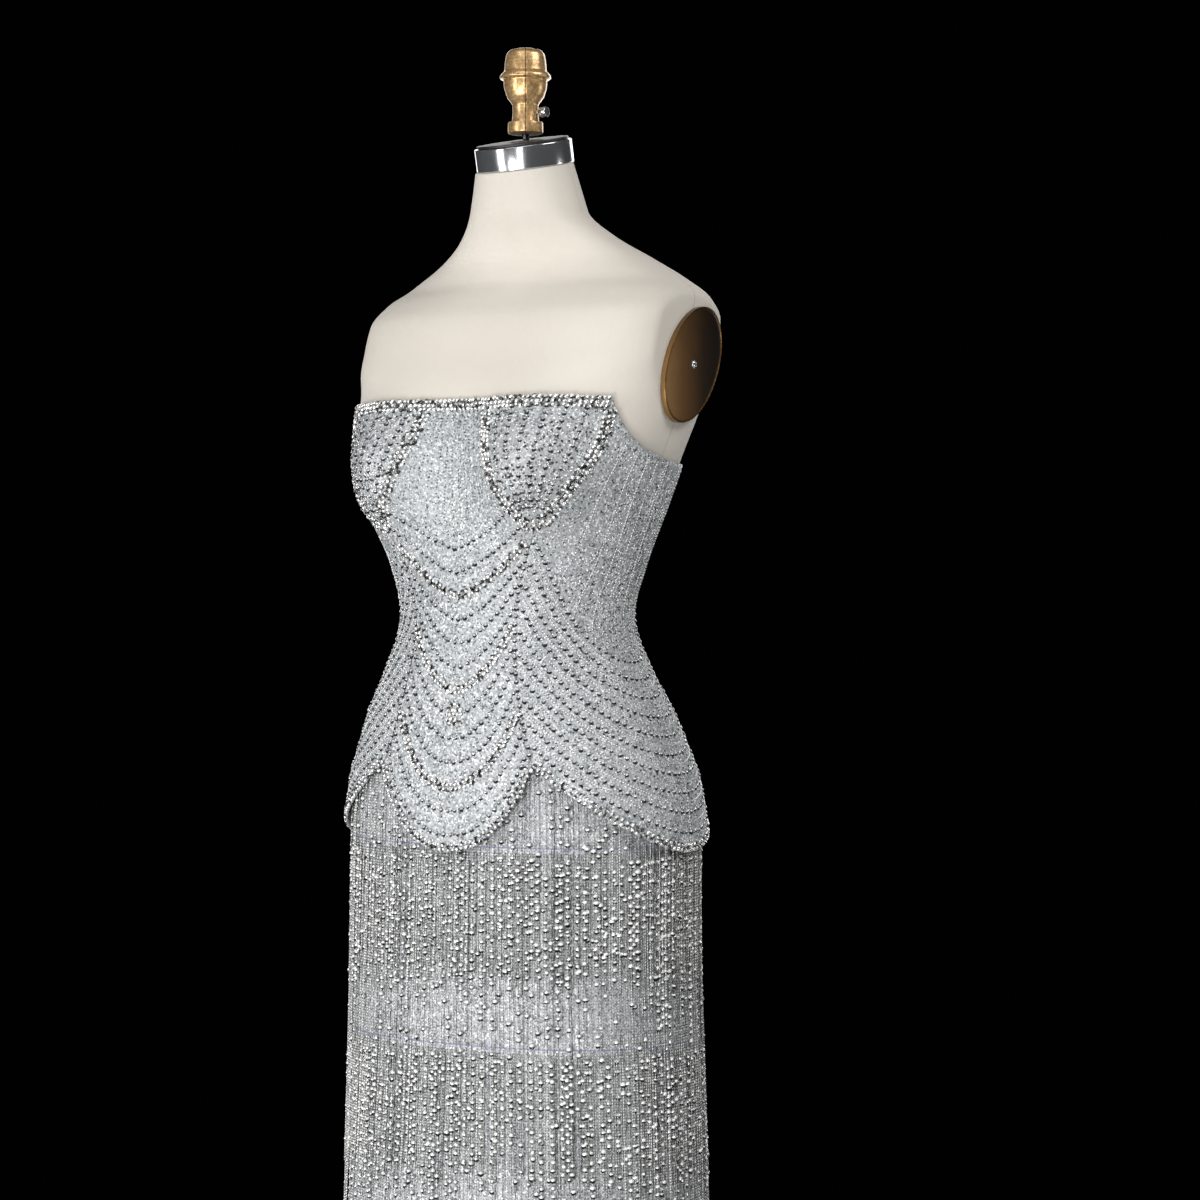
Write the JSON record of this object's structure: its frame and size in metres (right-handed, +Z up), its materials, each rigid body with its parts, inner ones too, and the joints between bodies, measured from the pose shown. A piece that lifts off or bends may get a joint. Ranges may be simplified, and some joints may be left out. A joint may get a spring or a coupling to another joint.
{
  "type": "fringe evening gown on a limbless dress form",
  "caption": "Strapless beaded evening gown with cups, a scalloped peplum and a column skirt of bead fringe, worn by a limbless dress form on a pole stand.",
  "frame": {"origin": "on the floor at the centre of the stand's base, under the pole and the form's axis", "axes": "+Z up along the form's axis; the gown's front faces -Y and the wearer's left is +X"},
  "size_m": [0.3866, 0.3333, 1.5888],
  "materials": {
    "linen": "matt cream linen stretched over the form",
    "chrome": "polished",
    "dark_disc": "dark, matt",
    "gilt_wood": "gilt, semi-gloss",
    "bronze": "bronze lacquer",
    "black_steel": "satin black",
    "beaded_cloth": "silver mesh covered with seed beads",
    "mesh_cloth": "silver glitter mesh",
    "crystal": "clear crystals sewn close together",
    "bead_fringe": "strands of seed beads and cup sequins"
  },
  "bodies": {
    "gown_and_form": {"form_torso": "linen", "neck_band": "chrome", "finial_rod": "chrome", "thumb_screw": "chrome", "plate_screw_left": "chrome", "plate_screw_right": "chrome", "zip_slider": "chrome", "neck_disc": "dark_disc", "finial": "gilt_wood", "arm_plate_left": "bronze", "arm_plate_right": "bronze", "pole": "black_steel", "base": "black_steel", "bodice_front": "beaded_cloth", "cup_left": "beaded_cloth", "cup_right": "beaded_cloth", "bodice_side_front_left": "beaded_cloth", "bodice_side_front_right": "beaded_cloth", "bodice_side_back_left": "beaded_cloth", "bodice_side_back_right": "beaded_cloth", "bodice_back_left": "beaded_cloth", "bodice_back_right": "beaded_cloth", "skirt_front": "mesh_cloth", "skirt_back_left": "mesh_cloth", "skirt_back_right": "mesh_cloth", "neckline_rope": "crystal", "cup_rope_left": "crystal", "cup_rope_right": "crystal", "scallop_rope_front": "crystal", "scallop_rope_left": "crystal", "scallop_rope_right": "crystal", "scallop_rope_back": "crystal", "fringe_tier_1": "bead_fringe", "fringe_tier_2": "bead_fringe", "fringe_tier_3": "bead_fringe", "fringe_tier_4": "bead_fringe", "fringe_tier_5": "bead_fringe"},
    "pull_tab": {"zip_pull": "chrome"}
  },
  "joints": [
    {"name": "zip_pull_hinge", "type": "hinge", "parent": "gown_and_form", "child": "pull_tab", "pos_m": [0, 0.10787, 1.1667], "axis": [1, 0, 0], "range_deg": [-12, 160]}
  ]
}
